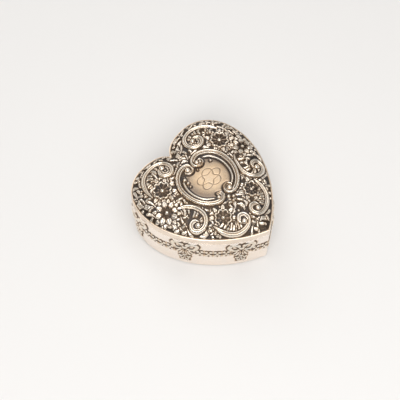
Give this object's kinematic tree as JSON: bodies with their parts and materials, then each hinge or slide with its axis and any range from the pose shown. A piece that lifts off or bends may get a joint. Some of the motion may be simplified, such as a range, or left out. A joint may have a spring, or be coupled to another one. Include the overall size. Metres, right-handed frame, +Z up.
{
  "type": "heart-shaped silver box",
  "caption": "Heart-shaped silver trinket box with a lift-off domed lid of repousse scrolls and flowers round a plain panel, and a flower garland with bows on its wall.",
  "frame": {"origin": "middle of the underside, on the surface that the box stands on", "axes": "+Z up, +Y towards the cleft of the heart, +X to the right with the heart's point towards the viewer"},
  "size_m": [0.0768, 0.078, 0.0389],
  "materials": {
    "bright_silver": "sterling silver, hand-polished, warm with age, with darkened recesses in the garland",
    "oxidised_silver": "sterling silver repousse, polished on the high places, oxidised dark in the ground"
  },
  "bodies": {
    "root": {"box_base": "bright_silver", "lid": "oxidised_silver"}
  },
  "joints": []
}
